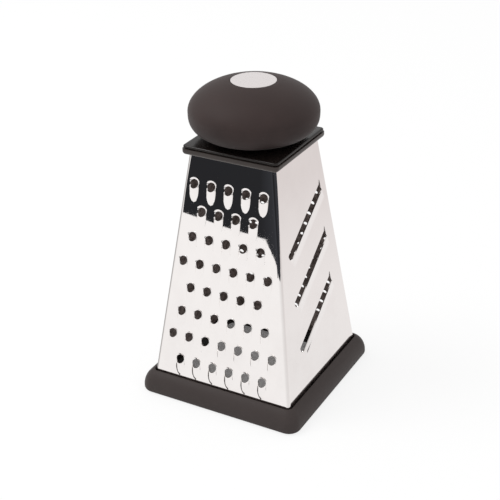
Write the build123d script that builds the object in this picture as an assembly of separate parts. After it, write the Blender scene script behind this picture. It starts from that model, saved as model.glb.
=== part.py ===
from build123d import *
import math
import os

# A four-sided box grater. The origin is on the floor under its centre, +Z is up.
# The coarse side faces -Y, the slicing side +X, the fine side +Y and the zesting side -X.
# All lengths are in millimetres and all angles in degrees.

# Steel body, a hollow square pyramid of four welded sides
foot_height = 14.5
body_height = 152.6
body_foot_width = 100.3
body_neck_width = 59.8
sheet = 0.6
bend_radius = 2.35
steel_lower_edge = 5.0
steel_upper_edge = 169.4

# Foot ring and the frame inside it
foot_width = 116.6
foot_corner_radius = 8.5
foot_side_height = 2.8
foot_underside_radius = 2.2
foot_dome_angle = 70
foot_lip_width = 0.8
foot_lip_gap = 0.5
foot_sole = 1.2
frame_width = 106.4
frame_corner_radius = 4.5
frame_well_width = 93.2
frame_well_corner_radius = 4.0
frame_inner_height = 8.5
frame_outer_height = 11.5

# Collar and top plate
collar_width = 66.6
collar_corner_radius = 2.6
collar_height = 3.8
collar_edge_radius = 2.2
plate_width = 65.6
plate_corner_radius = 2.4
plate_thickness = 2.0
plate_edge_radius = 0.95
plate_seat_width = 61.0
plate_seat_height = 0.3

# Handle
knob_radius = 40.9
knob_middle_height = 190.9
knob_upper_rise = 20.4
knob_lower_drop = 17.3
knob_upper_fullness = 1.94
knob_lower_fullness = 3.0
grip_thickness = 2.5
core_wall = 2.4
core_boss_radius = 8.0
knob_foot_radius = 16.0
knob_foot_floor = 3.0
disc_seat_radius = 16.5
peg_radius = 1.5
peg_length = 1.4
peg_spacing = 22.0

# Disc in the top of the handle
disc_radius = 14.2
disc_rim_height = 1.4
disc_crown = 0.5
disc_bevel = 0.7
disc_top_height = 210.2
pad_thickness = 0.6
pad_radius = 13.0

# Screw, washers and nut
screw_radius = 2.5
screw_length = 45.0
screw_head_radius = 4.75
screw_head_height = 3.2
screw_head_rounding = 1.2
screw_recess_radius = 1.4
screw_recess_depth = 1.8
head_pocket_depth = 6.5
washer_radius = 5.0
washer_thickness = 1.0
nut_across_flats = 8.0
nut_height = 4.0

# Clamping plug in the neck of the steel body
plug_lower_edge = 161.5
plug_draw_gap = 0.3
plug_wall = 2.0
plug_web = 3.0
plug_corner_radius = 1.2

# Coarse teeth: one entry for each row, from the bottom up
coarse_row_counts = (6, 7, 6, 5, 6, 5, 4, 5)
coarse_first_row = 12.9
coarse_row_pitch = 17.5
coarse_pitch = 12.18
coarse_hole_radius = 2.85
coarse_drop_length = 12.0
coarse_drop_radius = 4.5
coarse_lip_rise = 1.5
coarse_dimple_radius = 4.3
coarse_dimple_depth = 1.2

# Slicing slots
slot_count = 3
slot_first_height = 43.5
slot_spacing = 32.6
slot_tilt = 29.5
slot_length = 58.0
slot_gap = 3.7
slot_corner_radius = 1.2
hook_length = 5.2
hook_width = 1.2
hook_turn = 45
blade_width = 7.0
blade_rise = 1.6
blade_end_run = 1.6

# Fine teeth
fine_row_count = 15
fine_first_row = 13.9
fine_row_pitch = 8.93
fine_pitch = 5.8
fine_hole_radius = 1.5
fine_drop_length = 5.6
fine_drop_radius = 2.4
fine_lip_rise = 0.8
fine_margin = 7.0

# Zesting burrs
zest_row_count = 21
zest_first_row = 11.7
zest_row_pitch = 6.4
zest_pitch = 7.0
zest_margin = 6.5
zest_hole_radius = 0.7
zest_base_radius = 1.7
zest_tip_radius = 1.0
zest_rise = 1.0
zest_flare_radius = 1.2

# Where the curved outlines are set out, as shares of the foot ring's dome angle and of a quarter turn
foot_section_shares = (0, 0.17, 0.34, 0.51, 0.68, 0.84, 1)
knob_section_shares = (0, 0.12, 0.25, 0.38, 0.52, 0.66, 0.8, 0.92)

# The stamped patterns of the two seen sides stand this far to the left of each side's centre line
pattern_offset = -0.75

# Clearances, and the one overrun of all cutting bodies
fit_clearance = 0.2
hole_clearance = 0.25
thread_clearance = 0.05
overrun = 2.0

# Worked out from the sizes above
neck_height = foot_height + body_height
slope = (body_foot_width - body_neck_width) / 2 / body_height
lean = math.degrees(math.atan(slope))
sheet_across = sheet / math.cos(math.radians(lean))
collar_top = neck_height + collar_height
plate_bottom = collar_top + plate_seat_height
plate_top = plate_bottom + plate_thickness
disc_floor = disc_top_height - disc_rim_height - pad_thickness
head_seat = disc_floor - head_pocket_depth
screw_shank_top = head_seat + washer_thickness
plug_top = steel_upper_edge - plug_draw_gap
plug_web_bottom = plug_top - plug_web
nut_top = plug_web_bottom - washer_thickness


def body_half_width(height):
    """Half the steel body's width at a height above the floor."""
    return body_foot_width / 2 - slope * (height - foot_height)


def square_section(half_width, corner_radius, height):
    """A rounded square, level, at a height."""
    return Plane.XY.offset(height) * RectangleRounded(2 * half_width, 2 * half_width, corner_radius)


def square_block(half_width, corner_radius, bottom, top):
    """An upright block with a rounded square plan."""
    return extrude(square_section(half_width, corner_radius, bottom), top - bottom)


def body_block(bottom, top, inset, corner_radius):
    """A solid block with the body's taper, its sides moved in by inset."""
    lower = square_section(body_half_width(bottom) - inset, corner_radius, bottom)
    upper = square_section(body_half_width(top) - inset, corner_radius, top)
    return loft([lower, upper], ruled=True)


def round_block(radius, bottom, top):
    """An upright cylinder on the object's axis."""
    return extrude(Plane.XY.offset(bottom) * Circle(radius), top - bottom)


# The steel sides are all made facing -Y. A place on a side is given by its distance to the right of the side's
# centre line and its distance up the slope from the level of the foot ring's lip.

face_plane = Plane(
    origin=(0, -body_half_width(foot_height), foot_height),
    x_dir=(1, 0, 0),
    z_dir=(0, -math.cos(math.radians(lean)), math.sin(math.radians(lean))),
)


def face_half_width(up_slope):
    """Half the width of a side at a distance up its slope."""
    return body_half_width(foot_height + up_slope * math.cos(math.radians(lean)))


def blank_side():
    """One plain side with half of each corner bend."""
    outside = body_block(steel_lower_edge, steel_upper_edge, 0, bend_radius)
    inside = body_block(
        steel_lower_edge - overrun, steel_upper_edge + overrun, sheet_across, bend_radius - sheet
    )
    reach = body_foot_width
    wedge = Plane.XY.offset(steel_lower_edge - overrun) * Polygon(
        (0, 0), (-reach, -reach), (reach, -reach), align=None
    )
    return (outside - inside) & extrude(wedge, steel_upper_edge - steel_lower_edge + 2 * overrun)


def hole_places(row_counts, first_row, row_pitch, pitch, offset):
    """Places of holes in centred rows, counted from the bottom row up."""
    places = []
    for row, count in enumerate(row_counts):
        for number in range(count):
            across = (number - (count - 1) / 2) * pitch + offset
            places.append((across, first_row + row * row_pitch))
    return places


def staggered_counts(row_count, first_row, row_pitch, pitch, margin):
    """How many holes fit in each row, odd and even in turn, so that each row stands half a pitch over."""
    counts = []
    for row in range(row_count):
        room = 2 * (face_half_width(first_row + row * row_pitch) - margin)
        count = math.floor(room / pitch) + 1
        wants_odd = row % 2 == 0
        if (count % 2 == 1) != wants_odd:
            count -= 1
        counts.append(count)
    return counts


def tool_box(width, bottom, top, low_side, high_side):
    """A block for trimming, in a side's own frame: centred across, then up the slope, then outwards."""
    low_corner = Pos(-width / 2, bottom, low_side)
    return low_corner * Box(
        width, top - bottom, high_side - low_side, align=(Align.MIN, Align.MIN, Align.MIN)
    )


def scoop(radius, drop_length, lip_rise, hole_radius):
    """The bulge below a hole and the hollow behind it: a barrel that climbs out of the sheet at a slant."""
    climb = math.atan(lip_rise / (drop_length - hole_radius))
    along = math.cos(climb)
    up = math.sin(climb)
    axis = Plane(
        origin=(0, -drop_length + radius * up, -radius * along), x_dir=(1, 0, 0), z_dir=(0, along, up)
    )
    length = drop_length + radius
    outside = extrude(axis * Circle(radius), length, both=True)
    inside = extrude(axis * Circle(radius - sheet), length, both=True)
    width = 2 * radius + overrun
    depth = -sheet - overrun
    bulge = outside & tool_box(width, -drop_length - radius, 0, -sheet, radius)
    hollow = inside & tool_box(width, -drop_length - radius, 0, depth, radius)
    return bulge, hollow


def dimple(radius, depth):
    """The shallow round hollow above a hole, and the boss that it presses out on the inner face."""
    sphere_radius = (radius**2 + depth**2) / (2 * depth)
    centre = Pos(0, 0, sphere_radius - depth)
    width = 2 * radius + overrun
    boss = (centre * Sphere(sphere_radius + sheet)) & tool_box(width, 0, width, -width, -sheet / 2)
    hollow = (centre * Sphere(sphere_radius)) & tool_box(width, 0, width, -width, width)
    return boss, hollow


def punch(radius):
    """A straight hole through the sheet and anything raised round it."""
    return Cylinder(radius, 2 * (blade_rise + sheet + overrun))


def stamped_side(tooth_reach, added, taken, places):
    """A steel side with the same tooth at each place.

    The tooth is made once, in a square patch of sheet that reaches well past it. Its outlines become holes in the
    side's two skins, and copies of the tooth's own faces close them.
    """
    patch = tool_box(4 * tooth_reach, -2 * tooth_reach, 2 * tooth_reach, -sheet, 0)
    stamp = patch + added - taken
    tooth_faces = []
    stamp_skins = []
    for face in stamp.faces():
        extent = face.bounding_box()
        if max(extent.max.X, -extent.min.X, extent.max.Y, -extent.min.Y) < 2 * tooth_reach - sheet:
            tooth_faces.append(face)
        elif face.inner_wires():
            stamp_skins.append(face)
    stamp_skins.sort(key=lambda face: -face.center().Z)

    side = blank_side()
    side_skins = side.faces().sort_by(SortBy.AREA)[-2:].sort_by(Axis.Y)
    spots = [face_plane * Pos(across, up_slope, 0) for across, up_slope in places]
    faces = [face for face in side.faces() if face not in side_skins]
    for side_skin, stamp_skin in zip(side_skins, stamp_skins):
        outlines = stamp_skin.inner_wires()
        faces.append(side_skin.make_holes([spot * outline for spot in spots for outline in outlines]))
    for spot in spots:
        faces += [spot * face for face in tooth_faces]
    return Solid(Shell(faces))


def coarse_side():
    places = hole_places(
        coarse_row_counts, coarse_first_row, coarse_row_pitch, coarse_pitch, pattern_offset
    )
    bulge, behind = scoop(coarse_drop_radius, coarse_drop_length, coarse_lip_rise, coarse_hole_radius)
    boss, hollow = dimple(coarse_dimple_radius, coarse_dimple_depth)
    taken = [behind, hollow, punch(coarse_hole_radius)]
    return stamped_side(coarse_drop_length, [boss, bulge], taken, places)


def fine_side():
    counts = staggered_counts(fine_row_count, fine_first_row, fine_row_pitch, fine_pitch, fine_margin)
    places = hole_places(counts, fine_first_row, fine_row_pitch, fine_pitch, 0)
    bulge, behind = scoop(fine_drop_radius, fine_drop_length, fine_lip_rise, fine_hole_radius)
    return stamped_side(fine_drop_length, [bulge], [behind, punch(fine_hole_radius)], places)


def zest_side():
    counts = staggered_counts(zest_row_count, zest_first_row, zest_row_pitch, zest_pitch, zest_margin)
    places = hole_places(counts, zest_first_row, zest_row_pitch, zest_pitch, 0)
    standing = (Align.CENTER, Align.CENTER, Align.MIN)
    burr = Pos(0, 0, -sheet / 2) * Cone(
        zest_base_radius, zest_tip_radius, zest_rise + sheet / 2, align=standing
    )
    flare = Pos(0, 0, -sheet) * Cone(zest_flare_radius, zest_hole_radius, zest_rise, align=standing)
    return stamped_side(2 * zest_base_radius, [burr], [flare, punch(zest_hole_radius)], places)


def blade(length, width, rise, wall):
    """The bulge below a slot, its cutting edge along the slot, or the hollow behind it, smaller by the wall."""
    radius = (width**2 + rise**2) / (2 * rise)
    axis = Plane(origin=(0, 0, rise - radius), x_dir=(0, 1, 0), z_dir=(1, 0, 0))
    barrel = extrude(axis * Circle(radius - wall), length, both=True)
    foot = length / 2 - wall
    crest = foot - blade_end_run
    depth = sheet + overrun
    end_slope = blade_end_run / rise
    side_view = Plane(origin=(0, -width, 0), x_dir=(1, 0, 0), z_dir=(0, -1, 0))
    outline = side_view * Polygon(
        (-foot - end_slope * depth, -depth),
        (foot + end_slope * depth, -depth),
        (crest, rise),
        (-crest, rise),
        align=None,
    )
    return barrel & extrude(outline, -width)


def slicing_side():
    middle = pattern_offset
    bulge = blade(slot_length, blade_width, blade_rise, 0)
    bulge = bulge & tool_box(2 * slot_length, -2 * blade_width, 0, -sheet, 2 * blade_rise)
    behind = blade(slot_length, blade_width, blade_rise, sheet)
    upper_corner = Pos(slot_length / 2, slot_gap / 2) * Rot(0, 0, hook_turn)
    opening = RectangleRounded(slot_length, slot_gap, slot_corner_radius)
    opening += upper_corner * SlotOverall(hook_length, hook_width)
    slot = extrude(opening, blade_rise + overrun, both=True)
    bulges = []
    hollows = []
    slots = []
    for number in range(slot_count):
        place = face_plane * Pos(middle, slot_first_height + number * slot_spacing, 0)
        place = place * Rot(0, 0, slot_tilt)
        edge = place * Pos(0, -slot_gap / 2, 0)
        bulges.append(edge * bulge)
        hollows.append(edge * behind)
        slots.append(place * slot)
    return blank_side() + bulges - hollows - slots


def foot_ring():
    """The soft ring: a domed outside, a flat sole, and a cavity that holds the stiff frame."""
    lip_half = body_half_width(foot_height) + foot_lip_gap + foot_lip_width
    swell = foot_width / 2 - lip_half
    rise = foot_height - foot_side_height
    lip_corner_radius = bend_radius + foot_lip_gap + foot_lip_width
    dome_angle = math.radians(foot_dome_angle)
    sections = []
    for share in foot_section_shares:
        inward = (1 - math.cos(dome_angle * share)) / (1 - math.cos(dome_angle))
        upward = math.sin(dome_angle * share) / math.sin(dome_angle)
        sections.append(
            square_section(
                foot_width / 2 - swell * inward,
                foot_corner_radius + (lip_corner_radius - foot_corner_radius) * inward,
                foot_side_height + rise * upward,
            )
        )
    dome = loft(sections)
    base = square_block(foot_width / 2, foot_corner_radius, 0, foot_side_height)
    base = fillet(base.faces().sort_by(Axis.Z)[0].edges(), foot_underside_radius)
    ring = base + dome
    ring -= square_block(frame_width / 2, frame_corner_radius, foot_sole, frame_outer_height)
    ring -= square_block(frame_well_width / 2, frame_well_corner_radius, -overrun, foot_sole + overrun)
    return ring - body_block(
        frame_outer_height - overrun,
        foot_height + overrun,
        -foot_lip_gap,
        bend_radius + foot_lip_gap,
    )


def base_frame():
    """The stiff frame in the ring, with a slanted groove that the steel's lower edge stands in."""
    outer_radius = bend_radius + fit_clearance
    inner_radius = bend_radius - sheet
    frame = square_block(frame_width / 2, frame_corner_radius, foot_sole, frame_outer_height)
    frame -= square_block(
        frame_well_width / 2, frame_well_corner_radius, foot_sole - overrun, frame_outer_height + overrun
    )
    above_groove = body_block(
        steel_lower_edge, frame_outer_height + overrun, -fit_clearance, outer_radius
    )
    inner_lip = body_block(
        steel_lower_edge - overrun, frame_inner_height, sheet_across + fit_clearance, inner_radius
    )
    return frame - (above_groove - inner_lip)


def collar_frame():
    """The collar: a shallow cap over the steel's upper edge, rounded below."""
    collar = square_block(collar_width / 2, collar_corner_radius, neck_height, collar_top)
    collar = fillet(collar.faces().sort_by(Axis.Z)[0].edges(), collar_edge_radius)
    collar -= body_block(
        neck_height - overrun, steel_upper_edge, -fit_clearance, bend_radius + fit_clearance
    )
    return collar - round_block(screw_radius + hole_clearance, neck_height, collar_top + overrun)


def peg_places(height):
    """The two places of the pegs that keep the handle from turning."""
    return [Pos(side * peg_spacing / 2, 0, height) for side in (-1, 1)]


def top_plate():
    """The glossy plate with a rounded edge, raised off the collar by a narrow seat."""
    plate = square_block(plate_width / 2, plate_corner_radius, plate_bottom, plate_top)
    plate = fillet(plate.edges().group_by(Axis.Z)[-1], plate_edge_radius)
    plate = fillet(plate.edges().group_by(Axis.Z)[0], plate_edge_radius)
    plate += square_block(plate_seat_width / 2, plate_corner_radius, collar_top, plate_bottom)
    plate -= round_block(screw_radius + hole_clearance, collar_top - overrun, plate_top + overrun)
    pocket_depth = peg_length + hole_clearance
    for place in peg_places(plate_top - pocket_depth):
        plate -= place * Cylinder(
            peg_radius + hole_clearance,
            pocket_depth + overrun,
            align=(Align.CENTER, Align.CENTER, Align.MIN),
        )
    return plate


def knob_half(inset, rise, fullness):
    """Half of the handle's swollen form, above its middle, or below it where rise is negative."""
    radius = knob_radius - inset
    height = math.copysign(abs(rise) - inset, rise)
    points = []
    for share in knob_section_shares:
        angle = math.radians(90 * share)
        points.append(
            (
                radius * math.cos(angle) ** (2 / fullness),
                0,
                knob_middle_height + height * math.sin(angle) ** (2 / fullness),
            )
        )
    points.append((0, 0, knob_middle_height + height))
    curve = Spline(points, tangents=[(0, 0, math.copysign(1, rise)), (-1, 0, 0)])
    axis_line = Line(points[-1], (0, 0, knob_middle_height))
    middle_line = Line((0, 0, knob_middle_height), points[0])
    return revolve(make_face([curve, axis_line, middle_line]), Axis.Z)


def core_upper_outside():
    """The outside of the core's upper half, with the raised seat of the disc."""
    half = knob_half(grip_thickness, knob_upper_rise, knob_upper_fullness)
    return half + round_block(disc_seat_radius, knob_middle_height, disc_floor)


def core_lower_outside():
    """The outside of the core's lower half, with the foot that stands on the top plate."""
    half = knob_half(grip_thickness, -knob_lower_drop, knob_lower_fullness)
    return half + round_block(knob_foot_radius, plate_top, knob_middle_height)


def knob_grip():
    """The soft skin of the handle, open where the disc lies and where the foot comes out."""
    grip = knob_half(0, knob_upper_rise, knob_upper_fullness) + knob_half(
        0, -knob_lower_drop, knob_lower_fullness
    )
    grip -= round_block(disc_radius + hole_clearance, disc_floor, disc_top_height + knob_upper_rise)
    return grip - core_upper_outside() - core_lower_outside()


def knob_core_upper():
    core = core_upper_outside()
    core -= round_block(knob_radius, disc_floor, disc_floor + knob_upper_rise)
    cavity = knob_half(grip_thickness + core_wall, knob_upper_rise, knob_upper_fullness)
    cavity &= round_block(knob_radius, knob_middle_height, head_seat - core_wall)
    core -= cavity - round_block(core_boss_radius, knob_middle_height, disc_floor)
    core -= round_block(washer_radius + hole_clearance, head_seat, disc_floor + overrun)
    return core - round_block(screw_radius + hole_clearance, knob_middle_height, disc_floor)


def knob_core_lower():
    core = core_lower_outside()
    cavity = knob_half(grip_thickness + core_wall, -knob_lower_drop, knob_lower_fullness)
    cavity &= round_block(knob_radius, plate_top + knob_foot_floor, knob_middle_height)
    core -= cavity - round_block(core_boss_radius, plate_top, knob_middle_height)
    for place in peg_places(plate_top - peg_length):
        core += place * Cylinder(
            peg_radius, peg_length + knob_foot_floor / 2, align=(Align.CENTER, Align.CENTER, Align.MIN)
        )
    return core - round_block(screw_radius + hole_clearance, plate_top - overrun, knob_middle_height)


def top_disc():
    """The disc: a thin round plate with a bevelled rim and a low crown."""
    bottom = disc_floor + pad_thickness
    bevel_bottom = disc_top_height - disc_bevel / 2
    crown_radius = disc_radius - disc_bevel
    sphere_radius = (crown_radius**2 + disc_crown**2) / (2 * disc_crown)
    plate = round_block(disc_radius, bottom, bevel_bottom)
    bevel = Pos(0, 0, bevel_bottom) * Cone(
        disc_radius, crown_radius, disc_bevel / 2, align=(Align.CENTER, Align.CENTER, Align.MIN)
    )
    crown = Pos(0, 0, disc_top_height + disc_crown - sphere_radius) * Sphere(sphere_radius)
    crown &= round_block(crown_radius, bottom, disc_top_height + disc_crown + overrun)
    return plate + bevel + crown


def disc_pad():
    return round_block(pad_radius, disc_floor, disc_floor + pad_thickness)


def washer(bottom):
    return round_block(washer_radius, bottom, bottom + washer_thickness) - round_block(
        screw_radius + thread_clearance, bottom - overrun, bottom + washer_thickness + overrun
    )


def handle_screw():
    """A pan-head screw with a round-bottomed driver recess."""
    head_top = screw_shank_top + screw_head_height
    head = round_block(screw_head_radius, screw_shank_top, head_top)
    head = fillet(head.edges().group_by(Axis.Z)[-1], screw_head_rounding)
    shank = round_block(screw_radius, screw_shank_top - screw_length, screw_shank_top)
    recess = Plane.XY.offset(head_top - screw_recess_depth) * RegularPolygon(screw_recess_radius, 6)
    return head + shank - extrude(recess, screw_recess_depth + overrun)


def handle_nut():
    hexagon = Plane.XY.offset(nut_top - nut_height) * RegularPolygon(
        nut_across_flats / 2, 6, major_radius=False
    )
    return extrude(hexagon, nut_height) - round_block(
        screw_radius + thread_clearance, nut_top - nut_height - overrun, nut_top + overrun
    )


def clamp_plug():
    """A cap-shaped plug that follows the steel's taper from inside."""
    inset = sheet_across + fit_clearance
    plug = body_block(plug_lower_edge, plug_top, inset, plug_corner_radius)
    plug -= body_block(
        plug_lower_edge - overrun, plug_web_bottom, inset + plug_wall, plug_corner_radius
    )
    return plug - round_block(screw_radius + hole_clearance, plug_web_bottom - overrun, plug_top + overrun)


def turned(side, quarter_turns):
    """A side made facing -Y, turned about the object's axis to its own place."""
    return Rot(0, 0, 90 * quarter_turns) * side


pieces = {
    "coarse_panel": turned(coarse_side(), 0),
    "slicing_panel": turned(slicing_side(), 1),
    "fine_panel": turned(fine_side(), 2),
    "zest_panel": turned(zest_side(), 3),
    "foot_ring": foot_ring(),
    "base_frame": base_frame(),
    "collar_frame": collar_frame(),
    "top_plate": top_plate(),
    "knob_grip": knob_grip(),
    "knob_core_upper": knob_core_upper(),
    "knob_core_lower": knob_core_lower(),
    "top_disc": top_disc(),
    "disc_pad": disc_pad(),
    "handle_screw": handle_screw(),
    "screw_washer": washer(head_seat),
    "clamp_plug": clamp_plug(),
    "plug_washer": washer(nut_top),
    "handle_nut": handle_nut(),
}

os.makedirs("parts", exist_ok=True)
for name, piece in pieces.items():
    export_step(piece, f"parts/{name}.step")
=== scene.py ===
import math

import bmesh
import bpy
from mathutils import Matrix, Vector
from mathutils.geometry import delaunay_2d_cdt


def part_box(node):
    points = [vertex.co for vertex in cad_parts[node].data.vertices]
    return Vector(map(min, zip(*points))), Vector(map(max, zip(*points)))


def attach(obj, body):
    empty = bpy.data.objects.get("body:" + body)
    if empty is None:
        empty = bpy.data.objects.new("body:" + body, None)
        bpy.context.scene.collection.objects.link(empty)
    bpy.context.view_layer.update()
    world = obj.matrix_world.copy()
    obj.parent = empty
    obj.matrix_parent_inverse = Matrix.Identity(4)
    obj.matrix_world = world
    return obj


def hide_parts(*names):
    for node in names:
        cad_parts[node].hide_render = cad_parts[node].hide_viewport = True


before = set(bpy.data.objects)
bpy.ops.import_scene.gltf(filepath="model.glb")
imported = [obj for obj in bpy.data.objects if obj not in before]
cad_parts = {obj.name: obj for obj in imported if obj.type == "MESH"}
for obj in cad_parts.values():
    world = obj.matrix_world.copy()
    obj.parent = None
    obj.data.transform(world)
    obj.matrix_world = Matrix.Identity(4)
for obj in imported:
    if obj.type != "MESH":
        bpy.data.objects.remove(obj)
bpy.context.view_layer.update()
mm = 0.001

# Sizes read from the frame
_, ring_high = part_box("foot_ring")
collar_low, collar_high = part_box("collar_frame")
plate_low, plate_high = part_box("top_plate")
grip_low, grip_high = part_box("knob_grip")
disc_low, disc_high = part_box("top_disc")
steel_low, steel_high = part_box("coarse_panel")

foot_height = ring_high.z
foot_half_width = ring_high.x
collar_half_width = collar_high.x
plate_half_width = plate_high.x
knob_radius = grip_high.x
disc_radius = disc_high.x

# Steel body
body_foot_half_width = 50.15 * mm
body_neck_half_width = 29.9 * mm
body_height = collar_low.z - foot_height
slope = (body_foot_half_width - body_neck_half_width) / body_height
lean = math.atan(slope)
body_bands = 6
sheet = 0.6 * mm
bend_radius = 2.35 * mm
bend_steps = 12
flat_border = 0.2 * mm
pattern_offset = -0.75 * mm

# Each side's pattern is set out in rows up its slope. Every second row, from the one that start says, is
# shifted by the stagger, in pitches. The margin beside the rows stays plain, and the offset moves them all.

# Coarse teeth
coarse = {
    "rows": 8,
    "first_row": 12.9 * mm,
    "row_pitch": 17.5 * mm,
    "pitch": 12.18 * mm,
    "start": 1,
    "stagger": 0.5,
    "margin": 7.0 * mm,
    "offset": pattern_offset,
    "tilt": 0.0,
}
coarse_tooth = {
    "hole_radius": 2.85 * mm,
    "drop_length": 12.0 * mm,
    "drop_half_width": 3.25 * mm,
    "lip_rise": 1.5 * mm,
    "dimple_radius": 4.0 * mm,
    "dimple_depth": 1.1 * mm,
    "around": 48,
    "out": 7,
}

# Fine teeth
fine = {
    "rows": 15,
    "first_row": 13.9 * mm,
    "row_pitch": 8.93 * mm,
    "pitch": 5.8 * mm,
    "start": 0,
    "stagger": 0.5,
    "margin": 7.0 * mm,
    "offset": 0.0,
    "tilt": 0.0,
}
fine_tooth = {
    "hole_radius": 1.5 * mm,
    "drop_length": 5.6 * mm,
    "drop_half_width": 1.95 * mm,
    "lip_rise": 0.8 * mm,
    "dimple_radius": 1.9 * mm,
    "dimple_depth": 0.25 * mm,
    "around": 16,
    "out": 3,
}

# Form of both kinds of tooth: powers of the drop's outline and flanks, the start of its lip, which comes
# later on the left, the turn from drop to dimple, and the spacing of the rings of points
drop_fullness = 3.2
drop_flank = 0.75
least_drop_width = 0.01 * mm
lip_skew = 0.45
lip_run = 0.6
dimple_from = 0.1
dimple_skew = 0.15
dimple_run = 0.75
ring_crowding = 0.8
reach_halvings = 30

# Zesting burrs
zest = {
    "rows": 21,
    "first_row": 11.7 * mm,
    "row_pitch": 6.4 * mm,
    "pitch": 7.0 * mm,
    "start": 0,
    "stagger": 0.5,
    "margin": 6.5 * mm,
    "offset": 0.0,
    "tilt": 0.0,
}
zest_tip_radius = 1.0 * mm
zest_base_radius = 1.7 * mm
zest_rise = 1.0 * mm
zest_flare_rise = 0.35 * mm
zest_points = 4
zest_point_depth = 0.3 * mm
zest_around = 16

# Slicing slots
slicing = {
    "rows": 3,
    "first_row": 43.5 * mm,
    "row_pitch": 32.6 * mm,
    "pitch": 90.0 * mm,
    "start": 0,
    "stagger": 0.0,
    "margin": 0.0,
    "offset": pattern_offset,
    "tilt": math.radians(29.5),
}
slot_length = 58.0 * mm
slot_gap = 3.7 * mm
slot_corner_radius = 1.2 * mm
slot_corner_steps = 6
hook_reach = 2.6 * mm
hook_tip_radius = 0.4 * mm
hook_tip_steps = 5
blade_width = 9.0 * mm
blade_rise = 1.6 * mm
blade_toe = 0.2
blade_steps = 10
blade_end_run = 2.0 * mm
blade_end_steps = 6
blade_middle_steps = 24

# Foot ring
foot_corner_radius = 8.5 * mm
foot_corner_steps = 12
foot_side_height = 2.8 * mm
foot_underside_radius = 2.2 * mm
foot_underside_steps = 8
foot_dome_angle = math.radians(70)
foot_dome_steps = 18
foot_lip_width = 0.7 * mm
foot_lip_gap = 1.1 * mm
foot_lip_rounding = 0.3 * mm
foot_lip_steps = 4
foot_sole = 1.2 * mm
frame_half_width = 53.2 * mm
frame_corner_radius = 4.5 * mm
frame_height = 11.5 * mm
well_half_width = 46.6 * mm
well_corner_radius = 4.0 * mm

# Collar and plate
cap_corner_steps = 8
collar_corner_radius = 2.6 * mm
collar_edge_radius = 2.2 * mm
collar_edge_steps = 8
collar_ceiling = 169.4 * mm
collar_clearance = 0.2 * mm
plate_corner_radius = 2.4 * mm
plate_least_corner = 0.3 * mm
plate_edge_radius = 0.95 * mm
plate_edge_steps = 12
plate_seat_half_width = 30.5 * mm
plate_seat_height = 0.3 * mm

# Handle
knob_middle = 190.9 * mm
knob_upper_rise = 20.4 * mm
knob_lower_drop = 17.3 * mm
knob_upper_fullness = 1.94
knob_lower_fullness = 3.0
knob_foot_radius = 16.2 * mm
knob_steps_up = 60
knob_steps_round = 128
grip_thickness = 2.5 * mm
rim_drop = 0.05 * mm
disc_gap = 0.25 * mm
disc_crown = 0.5 * mm
disc_bevel_width = 0.7 * mm
disc_rings = 10
disc_steps_round = 96

# Meshes. The nudge keeps an exact division from being rounded down to the row before.
row_nudge = 0.001
weld_distance = 0.001 * mm
sharp_angle = math.radians(38)
inside_constraints = 1
triangulation_tolerance = 1e-9

# Studio: the paper is white to the camera and in reflections by the share of its own glow
white = (1, 1, 1, 1)
floor_reach = 4.0
paper_glow = 1.05
glow_share_inside_foot = 0.1
glow_share_outside = 0.75
lit_paper = (0.88, 0.88, 0.88, 1)
far_paper = (0.74, 0.69, 0.685, 1)
world_light = 0.8
lamp_place = Vector((-0.9, -0.5, 1.5))
lamp_aim = Vector((0, 0, 0.1))
lamp_size = 0.9
lamp_power = 9.0

# The dark edge of the room beyond the paper, which the coarse side mirrors in its upper part
dark_card_height = 1.7 * mm
dark_card_outline = (
    (-620, -530),
    (-307, -515),
    (-242, -494),
    (-188, -483),
    (-140, -412),
    (-110, -362),
    (-10, -510),
    (168, -585),
    (381, -581),
    (640, -378),
    (722, -162),
    (665, 60),
    (530, 229),
    (416, 307),
    (345, 400),
    (620, 470),
    (1300, 350),
    (2500, -300),
    (2500, -2500),
    (300, -2500),
    (-300, -1500),
    (-620, -1000),
)

# Camera, worked out from the edges of the body in the photograph
camera_place = (0.3233, -0.5906, 0.448)
camera_azimuth = math.radians(29.014)
camera_elevation = math.radians(27.795)
camera_roll = math.radians(-0.866)
camera_lens = 83.79
camera_sensor = 36
camera_near = 0.01


class Signal:
    """A number that varies over a surface or a pattern. Arithmetic on it adds nodes that work it out."""

    def __init__(self, nodes, socket):
        self.nodes = nodes
        self.socket = socket

    def math(self, operation, *values):
        return self.nodes.add("ShaderNodeMath", dict(enumerate(values)), operation=operation)

    def __add__(self, other):
        return self.math("ADD", self, other)

    def __radd__(self, other):
        return self.math("ADD", other, self)

    def __sub__(self, other):
        return self.math("SUBTRACT", self, other)

    def __rsub__(self, other):
        return self.math("SUBTRACT", other, self)

    def __mul__(self, other):
        return self.math("MULTIPLY", self, other)

    def __truediv__(self, other):
        return self.math("DIVIDE", self, other)

    def __mod__(self, other):
        return self.math("MODULO", self, other)

    def __abs__(self):
        return self.math("ABSOLUTE", self)

    def __gt__(self, other):
        return self.math("GREATER_THAN", self, other)

    def __lt__(self, other):
        return self.math("LESS_THAN", self, other)

    def floor(self):
        return self.math("FLOOR", self)

    def at_least(self, other):
        return self.math("MAXIMUM", self, other)

    def at_most(self, other):
        return self.math("MINIMUM", self, other)


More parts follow.
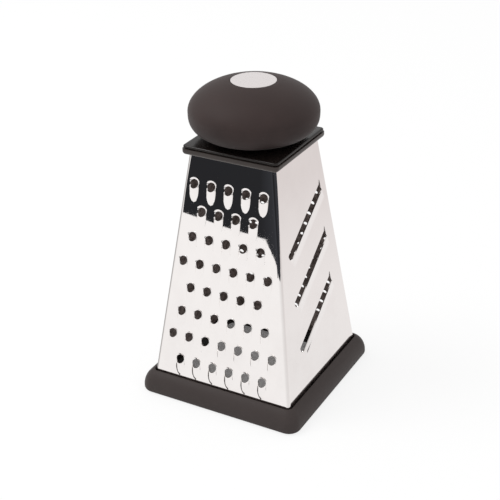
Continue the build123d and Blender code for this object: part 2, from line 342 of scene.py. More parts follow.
class Nodes:
    """Adds nodes to a material's tree, the world's tree or a geometry tree."""

    def __init__(self, tree):
        self.tree = tree

    def make(self, kind, values={}, **settings):
        """One node: its settings are made first, then its sockets get their values or links."""
        node = self.tree.nodes.new(kind)
        for name, setting in settings.items():
            setattr(node, name, setting)
        for name, value in values.items():
            if isinstance(value, Signal):
                self.tree.links.new(value.socket, node.inputs[name])
            else:
                node.inputs[name].default_value = value
        return node

    def add(self, kind, values={}, output=0, **settings):
        """One node, and one of its outputs as a signal."""
        return Signal(self, self.make(kind, values, **settings).outputs[output])

    def noise(self, place, scale, detail=3, roughness=0.5):
        values = {"Vector": place, "Scale": scale, "Detail": detail, "Roughness": roughness}
        return self.add("ShaderNodeTexNoise", values)

    def ramp(self, factor, low, high):
        """Nought below low and one above high, in a straight line between."""
        values = {"Value": factor, "From Min": low, "From Max": high}
        return self.add("ShaderNodeMapRange", values, clamp=True)

    def blend(self, factor, first, second):
        """A colour between two others."""
        return self.add("ShaderNodeMix", {0: factor, 6: first, 7: second}, output=2, data_type="RGBA")

    def stretched(self, place, scale):
        return self.add("ShaderNodeMapping", {"Vector": place, "Scale": scale})

    def along(self, place, axis):
        """The X, Y or Z of a place."""
        return self.add("ShaderNodeSeparateXYZ", {"Vector": place}, output=axis)

    def bump(self, height, distance, **others):
        values = {"Height": height, "Distance": distance, "Strength": 1.0, **others}
        return self.add("ShaderNodeBump", values)

    def ray(self, kind):
        """One where the ray is of a kind, such as Is Camera Ray."""
        return self.add("ShaderNodeLightPath", output=kind)

    def glow(self, colour, strength):
        return self.add("ShaderNodeEmission", {"Color": colour, "Strength": strength})

    def background(self, strength):
        return self.add("ShaderNodeBackground", {"Color": white, "Strength": strength})

    def mixed(self, factor, first, second):
        """A shader between two others."""
        return self.add("ShaderNodeMixShader", {0: factor, 1: first, 2: second})


def new_material(name):
    """An empty node material, its nodes helper and the place of a point on the object."""
    material = bpy.data.materials.new(name)
    material.use_nodes = True
    material.node_tree.nodes.clear()
    nodes = Nodes(material.node_tree)
    return material, nodes, nodes.add("ShaderNodeTexCoord", output="Object")


def finish_material(nodes, values):
    """The surface shader and the output."""
    surface = nodes.add("ShaderNodeBsdfPrincipled", values)
    nodes.make("ShaderNodeOutputMaterial", {"Surface": surface})


def polished_steel():
    """Mirror-polished sheet with faint smudges, fine rolling lines, and painted shade on the bends along its
    corners.
    """
    material, nodes, place = new_material("polished_steel")
    smudges = nodes.ramp(nodes.noise(place, 38, 4, 0.6), 0.46, 0.7)
    lines = nodes.noise(nodes.stretched(place, (900, 900, 35)), 1, 2)
    scratches = nodes.ramp(nodes.noise(nodes.stretched(place, (260, 260, 2600)), 1, 2), 0.66, 0.78)
    waves = nodes.noise(place, 24, 1)
    tint = nodes.blend(smudges * 0.35, (0.88, 0.845, 0.83, 1), (0.8, 0.76, 0.745, 1))
    # Painted shade: the bends along the corners get a darker base colour, much darker on the left, where X
    # is below nought.
    from_corner = abs(abs(nodes.along(place, "X")) - abs(nodes.along(place, "Y")))
    bend = 1 - nodes.ramp(from_corner, 0.8 * mm, 2.2 * mm)
    painted_bend_shade = bend * (0.18 + (nodes.along(place, "X") < 0) * 0.72)
    fine_bump = nodes.bump(lines + scratches * 0.6, 0.0008 * mm)
    finish_material(
        nodes,
        {
            "Base Color": nodes.blend(painted_bend_shade, tint, (0.24, 0.22, 0.21, 1)),
            "Metallic": 1.0,
            "Roughness": 0.015 + smudges * 0.025 + scratches * 0.03,
            "Normal": nodes.bump(waves, 0.015 * mm, Normal=fine_bump),
        },
    )
    return material


def inner_steel():
    """The unpolished inner face of the sheet, with a faint glow for the light scattered inside the body."""
    material, nodes, place = new_material("inner_steel")
    cloud = nodes.noise(place, 60, 4)
    blotches = nodes.ramp(nodes.noise(place, 320, 3), 0.35, 0.65)
    lines = nodes.noise(nodes.stretched(place, (1500, 1500, 60)), 1, 3)
    finish_material(
        nodes,
        {
            "Base Color": nodes.blend(cloud, (0.13, 0.11, 0.1, 1), (0.2, 0.175, 0.165, 1)),
            "Metallic": 1.0,
            "Roughness": 0.38 + lines * 0.2,
            "Emission Color": nodes.blend(blotches, (0.012, 0.009, 0.008, 1), (0.05, 0.04, 0.037, 1)),
            "Emission Strength": 1.0,
            "Normal": nodes.bump(lines, 0.01 * mm),
        },
    )
    return material


def soft_touch(name, dark, light, roughness, painted_light_from):
    """Soft black elastomer with a fine grain, a few specks of dust and painted light: paler towards the top,
    from a height upwards.
    """
    material, nodes, place = new_material(name)
    cloud = nodes.noise(place, 45, 4, 0.55)
    grain = nodes.noise(place, 4200, 2)
    flecks = nodes.ramp(nodes.noise(place, 900, 2, 0.7), 0.735, 0.79)
    # Painted light and shade: darker low down, paler from a height upwards, mixed with a random tone.
    painted_top_light = nodes.ramp(nodes.along(place, "Z") + cloud * 8 * mm, painted_light_from, painted_light_from + 26 * mm)
    base = nodes.blend(painted_top_light * 0.75 + nodes.ramp(cloud, 0.3, 0.7) * 0.25, dark, light)
    finish_material(
        nodes,
        {
            "Base Color": nodes.blend(flecks * 0.4, base, (0.17, 0.155, 0.15, 1)),
            "Roughness": roughness + cloud * 0.1,
            "Specular IOR Level": 0.2,
            "Sheen Weight": 0.04,
            "Sheen Roughness": 0.4,
            "Normal": nodes.bump(grain, 0.012 * mm),
        },
    )
    return material


def moulded_plastic(name, dark, light, roughness, grain_depth):
    """Moulded black plastic with faint swirl and scuffs."""
    material, nodes, place = new_material(name)
    swirl = nodes.noise(place, 70, 3)
    grain = nodes.noise(place, 2600, 2)
    scuffs = nodes.ramp(nodes.noise(nodes.stretched(place, (300, 300, 1400)), 1, 2), 0.64, 0.76)
    finish_material(
        nodes,
        {
            "Base Color": nodes.blend(swirl, dark, light),
            "Roughness": roughness + scuffs * 0.12 + swirl * 0.04,
            "Specular IOR Level": 0.3,
            "Normal": nodes.bump(grain, grain_depth),
        },
    )
    return material


def brushed_disc():
    """Satin steel with fine straight brushing."""
    material, nodes, place = new_material("disc_steel")
    lines = nodes.noise(nodes.stretched(place, (260, 4200, 4200)), 1, 3)
    cloud = nodes.noise(place, 120, 2)
    finish_material(
        nodes,
        {
            "Base Color": nodes.blend(lines, (0.86, 0.81, 0.8, 1), (0.95, 0.9, 0.89, 1)),
            "Metallic": 1.0,
            "Roughness": 0.2 + lines * 0.14 + cloud * 0.04,
            "Normal": nodes.bump(lines, 0.004 * mm),
        },
    )
    return material


def turned_steel():
    """Plain steel of the screw, washers and nut, with turning marks."""
    material, nodes, place = new_material("fastener_steel")
    marks = nodes.noise(nodes.stretched(place, (300, 300, 3200)), 1, 2)
    finish_material(
        nodes,
        {
            "Base Color": nodes.blend(marks, (0.42, 0.41, 0.4, 1), (0.6, 0.59, 0.57, 1)),
            "Metallic": 1.0,
            "Roughness": 0.28 + marks * 0.18,
            "Normal": nodes.bump(marks, 0.01 * mm),
        },
    )
    return material


def foam():
    """Adhesive foam with small open cells."""
    material, nodes, place = new_material("pad_foam")
    cells = nodes.add("ShaderNodeTexVoronoi", {"Vector": place, "Scale": 2400})
    finish_material(
        nodes,
        {
            "Base Color": nodes.blend(cells, (0.5, 0.49, 0.46, 1), (0.8, 0.79, 0.76, 1)),
            "Roughness": 0.85,
            "Normal": nodes.bump(cells, 0.05 * mm),
        },
    )
    return material


steel_finish = polished_steel()
inner_finish = inner_steel()
# Shaded and lit colours, roughness, and the height where the painted light starts.
grip_finish = soft_touch(
    "soft_black_grip", (0.0155, 0.011, 0.0105, 1), (0.046, 0.0305, 0.0285, 1), 0.55, 174 * mm
)
ring_finish = soft_touch(
    "soft_black_ring", (0.036, 0.028, 0.026, 1), (0.052, 0.041, 0.039, 1), 0.5, -12 * mm
)
collar_finish = moulded_plastic(
    "collar_black", (0.036, 0.028, 0.025, 1), (0.05, 0.039, 0.035, 1), 0.32, 0.008 * mm
)
plate_finish = moulded_plastic(
    "plate_black", (0.01, 0.0075, 0.0065, 1), (0.015, 0.011, 0.01, 1), 0.16, 0.002 * mm
)
core_finish = moulded_plastic(
    "core_plastic", (0.03, 0.028, 0.027, 1), (0.045, 0.042, 0.04, 1), 0.45, 0.01 * mm
)
disc_finish = brushed_disc()
fastener_finish = turned_steel()
foam_finish = foam()


def new_object(name, data, finishes=()):
    piece = bpy.data.objects.new(name, data)
    bpy.context.scene.collection.objects.link(piece)
    for finish in finishes:
        data.materials.append(finish)
    return piece


def mesh_from(name, points, faces):
    mesh = bpy.data.meshes.new(name)
    mesh.from_pydata(points, [], faces)
    mesh.validate()
    return mesh


def flattened(piece):
    """The piece's mesh with its modifiers worked in; the piece itself is removed."""
    bpy.context.view_layer.update()
    evaluated = piece.evaluated_get(bpy.context.evaluated_depsgraph_get())
    mesh = bpy.data.meshes.new_from_object(evaluated)
    bpy.data.objects.remove(piece)
    return mesh


def add_piece(name, mesh, finishes, slot, *nodes):
    """A finished piece of the object that stands for CAD nodes."""
    mesh.shade_smooth()
    mesh.set_sharp_from_angle(angle=sharp_angle)
    piece = new_object(name, mesh, finishes)
    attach(piece, "root")
    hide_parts(*nodes)


def smooth_step(value):
    value = min(max(value, 0), 1)
    return value * value * (3 - 2 * value)


def arc(centre, radii, start, end, steps):
    """Points of an elliptical arc in a plane, from angle start to angle end in degrees."""
    points = []
    for step in range(steps + 1):
        angle = math.radians(start + (end - start) * step / steps)
        points.append((centre[0] + radii[0] * math.cos(angle), centre[1] + radii[1] * math.sin(angle)))
    return points


def body_half_width(height):
    return body_foot_half_width - slope * (height - foot_height)


# The stamped sides are made in a flat frame: across, up the slope from the ring's lip, and outwards.


def offset_loop(loop, distance):
    """A closed outline moved outwards."""
    moved = []
    for number, point in enumerate(loop):
        along = loop[(number + 1) % len(loop)] - loop[number - 1]
        moved.append(point + Vector((along.y, -along.x)).normalized() * distance)
    return moved


def bordered_mesh(name, points, faces, loop):
    """A stamping with a flat border outside its outer loop of points, marked for the sheet that joins it."""
    outline = [Vector(points[number][:2]) for number in loop]
    first = len(points)
    points += [(point.x, point.y, 0) for point in offset_loop(outline, flat_border)]
    for number in range(len(loop)):
        following = (number + 1) % len(loop)
        faces.append((loop[number], first + number, first + following, loop[following]))
    mesh = mesh_from(name, points, faces)
    mark = mesh.attributes.new("on_border", "FLOAT", "POINT")
    for number in range(first, len(points)):
        mark.data[number].value = 1
    return mesh


def tooth_mesh(name, rings):
    """A tooth from rings of points that run out from its hole to its outline."""
    count = len(rings[0])
    points = [point for ring in rings for point in ring]
    last = len(points) - count
    faces = []
    for near in range(0, last, count):
        far = near + count
        for number in range(count):
            following = (number + 1) % count
            faces.append((near + number, far + number, far + following, near + following))
    return bordered_mesh(name, points, faces, range(last, len(points)))


def scoop_mesh(
    name, hole_radius, drop_length, drop_half_width, lip_rise, dimple_radius, dimple_depth, around, out
):
    """A round hole with a raised drop below it and a shallow dimple above it."""
    climb = lip_rise / (drop_length - hole_radius)
    sphere = (dimple_radius**2 + dimple_depth**2) / (2 * dimple_depth)

    def drop_width(y):
        return drop_half_width * math.sqrt(max(1 - (-y / drop_length) ** drop_fullness, 0))

    def drop_height(x, y):
        flank = max(1 - (x / max(drop_width(y), least_drop_width)) ** 2, 0)
        start = max(-x, 0) * lip_skew
        lip = smooth_step((-y - start) / (hole_radius * lip_run))
        return climb * (y + drop_length) * flank**drop_flank * lip

    def dimple_height(distance):
        depth = math.sqrt(sphere**2 - min(distance, dimple_radius) ** 2)
        return min(sphere - dimple_depth - depth, 0)

    def drop_reach(cosine, sine):
        near, far = hole_radius, drop_length + hole_radius
        for _ in range(reach_halvings):
            middle = (near + far) / 2
            if middle * abs(cosine) < drop_width(middle * sine):
                near = middle
            else:
                far = middle
        return near

    rings = [[] for _ in range(out + 1)]
    for number in range(around):
        angle = 2 * math.pi * number / around
        cosine = math.cos(angle)
        sine = math.sin(angle)
        above = smooth_step((sine - dimple_from + dimple_skew * cosine) / dimple_run)
        below_reach = drop_reach(cosine, min(sine, 0))
        if sine > 0:
            below_reach = min(below_reach, dimple_radius)
        reach = below_reach + (dimple_radius - below_reach) * above
        for ring in range(out):
            distance = hole_radius + (reach - hole_radius) * (ring / out) ** ring_crowding
            x = distance * cosine
            y = distance * sine
            height = drop_height(x, min(y, 0)) * (1 - above) + dimple_height(distance) * above
            rings[ring].append((x, y, height))
        rings[out].append((reach * cosine, reach * sine, 0))
    return tooth_mesh(name, rings)


def burr_mesh():
    """A punched burr: a flared collar of torn points round a small hole."""
    flare_radius = (zest_tip_radius + zest_base_radius) / 2
    tip, flare, outline = [], [], []
    for number in range(zest_around):
        angle = 2 * math.pi * number / zest_around
        cosine = math.cos(angle)
        sine = math.sin(angle)
        tear = zest_point_depth * (1 - math.cos(zest_points * angle)) / 2
        tip.append((zest_tip_radius * cosine, zest_tip_radius * sine, zest_rise - tear))
        flare.append((flare_radius * cosine, flare_radius * sine, zest_flare_rise))
        outline.append((zest_base_radius * cosine, zest_base_radius * sine, 0))
    return tooth_mesh("burr", [tip, flare, outline])


def bulge_rise(share):
    """The bulge's rise, nought at its foot and one at the blade: a rounded toe, then a straight slope."""
    if share < blade_toe:
        return share**2 / (blade_toe * (2 - blade_toe))
    return (share - blade_toe / 2) / (1 - blade_toe / 2)


def slot_mesh():
    """A slicing slot: a bulge whose upper edge is the blade, and the opening above it with its hook."""
    half = slot_length / 2
    edge = slot_gap / 2
    middle = (slot_length - 2 * blade_end_run) / blade_middle_steps
    ends = [blade_end_run * number / blade_end_steps for number in range(blade_end_steps)]
    columns = [distance - half for distance in ends]
    columns += [blade_end_run - half + middle * number for number in range(blade_middle_steps + 1)]
    columns += [half - distance for distance in reversed(ends)]
    across = len(columns) - 1
    width = len(columns)
    points = []
    for row in range(blade_steps + 1):
        share = row / blade_steps
        crown = blade_rise * bulge_rise(share)
        y = -edge - blade_width * (1 - share)
        points += [(x, y, crown * smooth_step((half - abs(x)) / blade_end_run)) for x in columns]
    faces = []
    for row in range(blade_steps):
        for column in range(across):
            corner = row * width + column
            faces.append((corner, corner + 1, corner + width + 1, corner + width))
    loop = [row * width for row in range(blade_steps, -1, -1)]
    loop += range(1, across)
    loop += [row * width + across for row in range(blade_steps + 1)]

    tip = (hook_reach - hook_tip_radius) / math.sqrt(2)
    tip_radii = (hook_tip_radius, hook_tip_radius)
    corner_radii = (slot_corner_radius, slot_corner_radius)
    opening = arc((half + tip, edge + tip), tip_radii, 0, 135, hook_tip_steps)
    opening.append((half - hook_tip_radius * math.sqrt(2), edge))
    opening += arc(
        (slot_corner_radius - half, edge - slot_corner_radius), corner_radii, 90, 180, slot_corner_steps
    )
    loop += range(len(points), len(points) + len(opening))
    points += [(x, y, 0) for x, y in opening]
    return bordered_mesh("slot", points, faces, loop)


def stamping_tree():
    """The geometry tree that sets out a stamping in staggered rows on a side that narrows upwards."""
    tree = bpy.data.node_groups.new("stamped rows", "GeometryNodeTree")
    kinds = {"stamping": "Object", "rows": "Int", "places": "Int", "start": "Int"}
    for name in ("first_row", "row_pitch", "pitch", "stagger", "margin", "offset", "tilt"):
        kinds[name] = "Float"
    kinds["foot_half"] = "Float"
    kinds["narrowing"] = "Float"
    sockets = {
        name: tree.interface.new_socket(name, in_out="INPUT", socket_type=f"NodeSocket{kind}")
        for name, kind in kinds.items()
    }
    tree.interface.new_socket("side", in_out="OUTPUT", socket_type="NodeSocketGeometry")
    nodes = Nodes(tree)
    entry = nodes.make("NodeGroupInput")
    given = {name: Signal(nodes, entry.outputs[name]) for name in kinds}
    index = nodes.add("GeometryNodeInputIndex")
    row = (index / given["places"] + row_nudge).floor()
    place = index - row * given["places"]
    step_over = ((row + given["start"]) % 2) * given["stagger"]
    across = (place - (given["places"] - 1) * 0.5 + step_over) * given["pitch"]
    up_slope = given["first_row"] + row * given["row_pitch"]
    spot = nodes.add("ShaderNodeCombineXYZ", {"X": across, "Y": up_slope})
    lattice = nodes.add("GeometryNodePoints", {"Count": given["rows"] * given["places"], "Position": spot})
    here = nodes.add("GeometryNodeInputPosition")
    room = given["foot_half"] - nodes.along(here, "Y") * given["narrowing"] - given["margin"]
    outside = abs(nodes.along(here, "X")) > room
    kept = nodes.add("GeometryNodeDeleteGeometry", {"Geometry": lattice, "Selection": outside})
    shift = nodes.add("ShaderNodeCombineXYZ", {"X": given["offset"]})
    moved = nodes.add("GeometryNodeSetPosition", {"Geometry": kept, "Offset": shift})
    stamping = nodes.add("GeometryNodeObjectInfo", {"Object": given["stamping"]}, output="Geometry")
    turn = nodes.add("ShaderNodeCombineXYZ", {"Z": given["tilt"]})
    copies = nodes.add(
        "GeometryNodeInstanceOnPoints", {"Points": moved, "Instance": stamping, "Rotation": turn}
    )
    real = nodes.add("GeometryNodeRealizeInstances", {"Geometry": copies})
    nodes.make("NodeGroupOutput", {"side": real})
    return tree, {name: socket.identifier for name, socket in sockets.items()}


stamped_rows, stamped_inputs = stamping_tree()


def stamped_rows_mesh(stamping_mesh, pattern):
    """The stampings of one side, in the flat frame."""
    stamping = new_object("stamping", stamping_mesh)
    carrier = new_object("stamped", bpy.data.meshes.new("stamped"))
    modifier = carrier.modifiers.new("rows", "NODES")
    modifier.node_group = stamped_rows
    values = {
        **pattern,
        "stamping": stamping,
        "places": 2 * math.ceil(body_foot_half_width / pattern["pitch"]) + 1,
        "foot_half": body_foot_half_width,
        "narrowing": math.sin(lean),
    }
    for name, value in values.items():
        modifier[stamped_inputs[name]] = value
    mesh = flattened(carrier)
    bpy.data.objects.remove(stamping)
    return mesh


def inside(point, loop):
    """Whether a point lies inside a closed outline."""
    crossings = 0
    for number, corner in enumerate(loop):
        previous = loop[number - 1]
        if (corner.y > point.y) != (previous.y > point.y):
            meet = corner.x + (point.y - corner.y) * (previous.x - corner.x) / (previous.y - corner.y)
            crossings += point.x < meet
    return crossings % 2 == 1


def border_loops(work):
    """The borders of the stampings, each as a ring of mesh points in order."""
    mark = work.verts.layers.float["on_border"]
    border = [point for point in work.verts if point[mark] > 0.5]
    waiting = set(border)
    loops = []
    for first in border:
        loop = []
        following = [first] if first in waiting else []
        while following:
            waiting.discard(following[0])
            loop.append(following[0])
            neighbours = [edge.other_vert(loop[-1]) for edge in loop[-1].link_edges if edge.is_boundary]
            following = [point for point in neighbours if point in waiting]
        if loop:
            loops.append(loop)
    return loops


def fill_flat(work, corners, loops):
    """Flat sheet between the side's own outline and the borders of its stampings."""
    mesh_points = []
    edges = []
    owner = []
    for number, loop in enumerate([corners] + loops):
        first = len(mesh_points)
        mesh_points += loop
        owner += [number] * len(loop)
        edges += [(first + n, first + (n + 1) % len(loop)) for n in range(len(loop))]
    flat = [point.co.xy for point in mesh_points]
    outlines = [[point.co.xy for point in loop] for loop in loops]
    filled = delaunay_2d_cdt(flat, edges, [], inside_constraints, triangulation_tolerance)
    triangles, origins = filled[2:4]
    for triangle in triangles:
        sources = [origins[corner][0] for corner in triangle]
        owners = {owner[source] for source in sources}
        if len(owners) == 1 and 0 not in owners:
            centre = sum((flat[source] for source in sources), Vector((0, 0))) / 3
            if inside(centre, outlines[owners.pop() - 1]):
                continue
        work.faces.new([mesh_points[source] for source in sources])


def steel_side(name, stamping_mesh, pattern, quarter_turns, node):
    """One side of the body with half of each corner bend, from its stampings outwards."""
    work = bmesh.new()
    work.from_mesh(stamped_rows_mesh(stamping_mesh, pattern))
    loops = border_loops(work)
    cosine = math.cos(lean)
    sine = math.sin(lean)
    low_slope = (steel_low.z - foot_height) / cosine
    high_slope = (steel_high.z - foot_height) / cosine
    band_height = (high_slope - low_slope) / body_bands
    levels = [low_slope + band_height * band for band in range(body_bands + 1)]

    def flat_half(up_slope):
        return body_half_width(foot_height + up_slope * cosine) - bend_radius

    columns = {}
    for side in (-1, 1):
        columns[side] = [
            [work.verts.new((side * (flat_half(level) - inset), level, 0)) for level in levels]
            for inset in (flat_border, 0)
        ]
    fill_flat(work, columns[1][0] + columns[-1][0][::-1], loops)

    upright = Matrix(
        (
            (1, 0, 0, 0),
            (0, sine, -cosine, -body_foot_half_width),
            (0, cosine, sine, foot_height),
            (0, 0, 0, 1),
        )
    )
    work.transform(upright)
    for side in (-1, 1):
        for step in range(1, bend_steps + 1):
            angle = math.radians(45) * step / bend_steps
            column = []
            for level in levels:
                across = flat_half(level) + bend_radius * math.sin(angle)
                back = -flat_half(level) - bend_radius * math.cos(angle)
                column.append(work.verts.new((side * across, back, foot_height + level * cosine)))
            columns[side].append(column)
        for near, far in zip(columns[side], columns[side][1:]):
            for band in range(body_bands):
                work.faces.new((near[band], far[band], far[band + 1], near[band + 1]))
    bmesh.ops.remove_doubles(work, verts=work.verts, dist=weld_distance)
    bmesh.ops.recalc_face_normals(work, faces=work.faces)
    largest = max(work.faces, key=lambda face: face.calc_area())
    if largest.normal.y > 0:
        bmesh.ops.reverse_faces(work, faces=work.faces)
    work.transform(Matrix.Rotation(math.radians(90) * quarter_turns, 4, "Z"))
    mesh = bpy.data.meshes.new(name)
    work.to_mesh(mesh)
    work.free()
    rough = new_object(name, mesh, (steel_finish, inner_finish))
    solid = rough.modifiers.new("sheet", "SOLIDIFY")
    solid.thickness = sheet
    solid.offset = -1
    solid.material_offset = 1
    solid.use_even_offset = False
    add_piece(name, flattened(rough), (), "polished_steel", node)


steel_side("coarse_side", scoop_mesh("coarse tooth", **coarse_tooth), coarse, 0, "coarse_panel")
steel_side("slicing_side", slot_mesh(), slicing, 1, "slicing_panel")
steel_side("fine_side", scoop_mesh("fine tooth", **fine_tooth), fine, 2, "fine_panel")
steel_side("zest_side", burr_mesh(), zest, 3, "zest_panel")


# Square and round pieces


def square_loop(half_width, corner_radius, height, corner_steps):
    """A rounded square at a height, as points in order."""
    centre = half_width - corner_radius
    points = []
    for quarter, (x, y) in enumerate(((1, 1), (-1, 1), (-1, -1), (1, -1))):
        for step in range(corner_steps + 1):
            angle = math.radians(90 * (quarter + step / corner_steps))
            across = x * centre + corner_radius * math.cos(angle)
            along = y * centre + corner_radius * math.sin(angle)
            points.append((across, along, height))
    return points


def round_loop(radius, height, steps):
    angles = [2 * math.pi * step / steps for step in range(steps)]
    return [(radius * math.cos(angle), radius * math.sin(angle), height) for angle in angles]


def lofted(name, loops, closed):
    """A skin through loops of points, joined into a ring if closed, or capped at both ends."""
    count = len(loops[0])
    points = [point for loop in loops for point in loop]
    faces = []
    last = len(loops) if closed else len(loops) - 1
    for level in range(last):
        near = level * count
        far = (level + 1) % len(loops) * count
        for number in range(count):
            following = (number + 1) % count
            faces.append((near + number, near + following, far + following, far + number))
    if not closed:
        faces.append(tuple(range(count)))
        faces.append(tuple(range(len(points) - count, len(points))))
    mesh = mesh_from(name, points, faces)
    work = bmesh.new()
    work.from_mesh(mesh)
    bmesh.ops.remove_doubles(work, verts=work.verts, dist=weld_distance)
    bmesh.ops.recalc_face_normals(work, faces=work.faces)
    work.to_mesh(mesh)
    work.free()
    return mesh


def foot_ring():
    """The soft ring: a domed outside, a rounded lip, a flat sole and a cavity for the stiff frame."""
    lip_inner = body_foot_half_width + foot_lip_gap
    lip_outer = lip_inner + foot_lip_width
    inner_corner = bend_radius + foot_lip_gap
    outer_corner = inner_corner + foot_lip_width
    section = []
    for step in range(foot_dome_steps, -1, -1):
        angle = foot_dome_angle * step / foot_dome_steps
        inward = (1 - math.cos(angle)) / (1 - math.cos(foot_dome_angle))
        upward = math.sin(angle) / math.sin(foot_dome_angle)
        section.append(
            (
                foot_half_width - (foot_half_width - lip_outer) * inward,
                foot_corner_radius + (outer_corner - foot_corner_radius) * inward,
                foot_side_height + (foot_height - foot_side_height) * upward,
            )
        )
    edge = foot_half_width - foot_underside_radius
    radii = (foot_underside_radius, foot_underside_radius)
    for half, height in arc((edge, foot_underside_radius), radii, 0, -90, foot_underside_steps):
        section.append((half, foot_corner_radius - (foot_half_width - half), height))
    section += [
        (well_half_width, well_corner_radius, 0),
        (well_half_width, well_corner_radius, foot_sole),
        (frame_half_width, frame_corner_radius, foot_sole),
        (frame_half_width, frame_corner_radius, frame_height),
        (lip_inner + slope * (foot_height - frame_height), inner_corner, frame_height),
    ]
    centre = (lip_inner + foot_lip_rounding, foot_height - foot_lip_rounding)
    radii = (foot_lip_rounding, foot_lip_rounding)
    for half, height in arc(centre, radii, 180, 90, foot_lip_steps):
        section.append((half, inner_corner + (half - lip_inner), height))
    loops = [square_loop(half, corner, height, foot_corner_steps) for half, corner, height in section]
    return lofted("foot_ring_skin", loops, True)


def collar():
    """The satin collar under the plate, with a rounding that catches the light along its lower edge."""
    opening = body_half_width(collar_low.z) + collar_clearance
    ceiling = body_half_width(collar_ceiling) + collar_clearance
    inner_corner = bend_radius + collar_clearance
    section = [(ceiling, inner_corner, collar_ceiling), (opening, inner_corner, collar_low.z)]
    centre = (collar_half_width - collar_edge_radius, collar_low.z + collar_edge_radius)
    radii = (collar_edge_radius, collar_edge_radius)
    for half, height in arc(centre, radii, -90, 0, collar_edge_steps):
        section.append((half, collar_corner_radius - (collar_half_width - half), height))
    section.append((collar_half_width, collar_corner_radius, collar_high.z))
    loops = [square_loop(half, corner, height, cap_corner_steps) for half, corner, height in section]
    return lofted("collar_body", loops, False)


def plate():
    """The glossy plate: a full round bead along its edge and a narrow seat underneath."""
    bottom = plate_low.z + plate_seat_height
    centre = (plate_half_width - plate_edge_radius, (bottom + plate_high.z) / 2)
    radii = (plate_edge_radius, (plate_high.z - bottom) / 2)
    section = [
        (plate_seat_half_width, plate_corner_radius, plate_low.z),
        (plate_seat_half_width, plate_corner_radius, bottom),
    ]
    for half, height in arc(centre, radii, -90, 90, plate_edge_steps):
        corner = max(plate_corner_radius - (plate_half_width - half), plate_least_corner)
        section.append((half, corner, height))
    loops = [square_loop(half, corner, height, cap_corner_steps) for half, corner, height in section]
    return lofted("plate_body", loops, False)


def knob_quarter(rise, fullness, least_radius):
    """A quarter of the handle's section, from its widest point towards its pole, down to a least radius."""
    points = []
    for step in range(knob_steps_up + 1):
        angle = math.radians(90) * step / knob_steps_up
        radius = knob_radius * max(math.cos(angle), 0) ** (2 / fullness)
        if radius > least_radius:
            points.append((radius, knob_middle + rise * math.sin(angle) ** (2 / fullness)))
    return points


def knob():
    """The soft skin of the handle, with a rolled edge round the disc."""
    pocket = disc_radius + disc_gap
    upper = knob_quarter(knob_upper_rise, knob_upper_fullness, pocket)
    lower = knob_quarter(-knob_lower_drop, knob_lower_fullness, knob_foot_radius)
    rim_height = upper[-1][1]
    section = [(knob_foot_radius, grip_low.z + grip_thickness), (knob_foot_radius, lower[-1][1])]
    section += lower[::-1] + upper[1:]
    section += [(pocket, rim_height - rim_drop), (pocket, disc_low.z)]
    loops = [round_loop(radius, height, knob_steps_round) for radius, height in section]
    return lofted("knob_skin", loops, False)


def disc():
    """The disc: bevelled rim and a low crown."""
    crown_radius = disc_radius - disc_bevel_width
    top = disc_high.z - disc_crown
    section = [
        (disc_radius, disc_low.z),
        (disc_radius, top - disc_bevel_width / 2),
        (crown_radius, top),
    ]
    for ring in range(1, disc_rings):
        share = 1 - ring / disc_rings
        section.append((crown_radius * share, top + disc_crown * (1 - share**2)))
    loops = [round_loop(radius, height, disc_steps_round) for radius, height in section]
    return lofted("disc_body", loops, False)


add_piece("foot_ring_skin", foot_ring(), (ring_finish,), "soft_black", "foot_ring")
add_piece("collar_body", collar(), (collar_finish,), "collar_black", "collar_frame")
add_piece("plate_body", plate(), (plate_finish,), "plate_black", "top_plate")
add_piece("knob_skin", knob(), (grip_finish,), "soft_black", "knob_grip")
add_piece("disc_body", disc(), (disc_finish,), "disc_steel", "top_disc")

# The CAD pieces that stay keep their shape and get a finish
for node, finish in {
    "base_frame": core_finish,
    "knob_core_upper": core_finish,
    "knob_core_lower": core_finish,
    "clamp_plug": core_finish,
    "disc_pad": foam_finish,
    "handle_screw": fastener_finish,
    "screw_washer": fastener_finish,
    "plug_washer": fastener_finish,
    "handle_nut": fastener_finish,
}.items():
    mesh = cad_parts[node].data
    mesh.materials.clear()
    mesh.materials.append(finish)


# The studio


def stage_sheet(name, corners, material):
    """One flat face of the studio."""
    mesh = mesh_from(name, corners, [tuple(range(len(corners)))])
    piece = new_object(name, mesh, (material,))
    return piece


def floor_material():
    """White paper: white to the camera and in reflections, with the object's shadow kept in it.

    Inside the object's foot it is plain paper in the shade, and mirrored from far behind a little darker.
    """
    material, nodes, place = new_material("white_paper")
    x = nodes.along(place, "X")
    y = nodes.along(place, "Y")
    outside = abs(x).at_least(abs(y)) > well_half_width
    mirrored = nodes.ray("Is Glossy Ray")
    shown = (nodes.ray("Is Camera Ray") + mirrored + nodes.ray("Is Transmission Ray")).at_most(1)
    share = shown * (glow_share_inside_foot + outside * (glow_share_outside - glow_share_inside_foot))
    far = nodes.ramp(x + y, -60 * mm, 750 * mm) * mirrored
    paper = nodes.add("ShaderNodeBsdfDiffuse", {"Color": lit_paper})
    glow = nodes.glow(nodes.blend(far, white, far_paper), paper_glow)
    nodes.make("ShaderNodeOutputMaterial", {"Surface": nodes.mixed(share, paper, glow)})
    return material


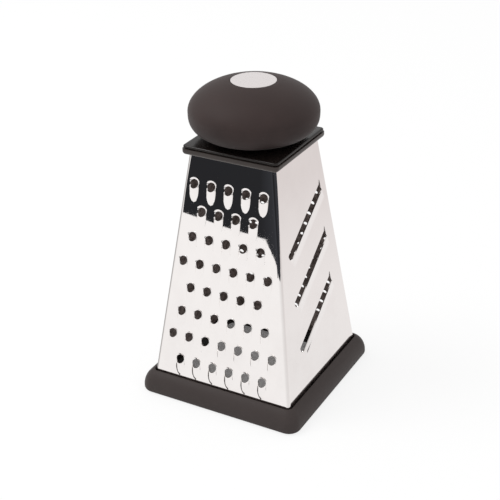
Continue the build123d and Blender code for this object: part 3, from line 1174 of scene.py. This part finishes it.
def dark_room():
    """The dark room beyond the paper, with a paler bluish strip in it and a paler part to the right."""
    material, nodes, place = new_material("dark_room")
    x = nodes.along(place, "X")
    y = nodes.along(place, "Y")
    strip = x - y * 0.5235
    paler = nodes.ramp(strip, 60 * mm, 85 * mm) - nodes.ramp(strip, 600 * mm, 900 * mm)
    paler = paler + nodes.ramp(x + y, -300 * mm, 300 * mm)
    colour = nodes.blend(paler, (0.022, 0.023, 0.026, 1), (0.043, 0.046, 0.054, 1))
    nodes.make("ShaderNodeOutputMaterial", {"Surface": nodes.glow(colour, 1)})
    return material


def key_lamp():
    data = bpy.data.lights.new("key_lamp", "AREA")
    data.shape = "DISK"
    data.size = lamp_size
    data.energy = lamp_power
    lamp = new_object("key_lamp", data)
    lamp.location = lamp_place
    lamp.rotation_euler = (lamp_aim - lamp_place).to_track_quat("-Z", "Y").to_euler()


def studio_world():
    """White to the camera, and a little less bright as light."""
    world = bpy.data.worlds.new("studio")
    bpy.context.scene.world = world
    world.use_nodes = True
    world.node_tree.nodes.clear()
    nodes = Nodes(world.node_tree)
    sky = nodes.mixed(nodes.ray("Is Camera Ray"), nodes.background(world_light), nodes.background(1))
    nodes.make("ShaderNodeOutputWorld", {"Surface": sky})


def photograph_camera():
    data = bpy.data.cameras.new("camera")
    data.lens = camera_lens
    data.sensor_width = camera_sensor
    data.clip_start = camera_near
    camera = new_object("camera", data)
    level = math.cos(camera_elevation)
    back = Vector(
        (
            math.sin(camera_azimuth) * level,
            -math.cos(camera_azimuth) * level,
            math.sin(camera_elevation),
        )
    )
    right = Vector((math.cos(camera_azimuth), math.sin(camera_azimuth), 0))
    up = back.cross(right)
    cosine = math.cos(camera_roll)
    sine = math.sin(camera_roll)
    right, up = cosine * right + sine * up, cosine * up - sine * right
    rows = [(right[n], up[n], back[n], camera_place[n]) for n in range(3)]
    camera.matrix_world = Matrix((*rows, (0, 0, 0, 1)))
    bpy.context.scene.camera = camera


floor_corners = ((-1, -1), (1, -1), (1, 1), (-1, 1))
stage_sheet("floor", [(x * floor_reach, y * floor_reach, 0) for x, y in floor_corners], floor_material())
dark_card_corners = [(x * mm, y * mm, dark_card_height) for x, y in dark_card_outline]
dark_card = stage_sheet("dark_card", dark_card_corners, dark_room())
for kind in ("camera", "diffuse", "transmission", "volume_scatter", "shadow"):
    setattr(dark_card, f"visible_{kind}", False)
key_lamp()
studio_world()
photograph_camera()
bpy.context.scene.view_settings.view_transform = "Standard"
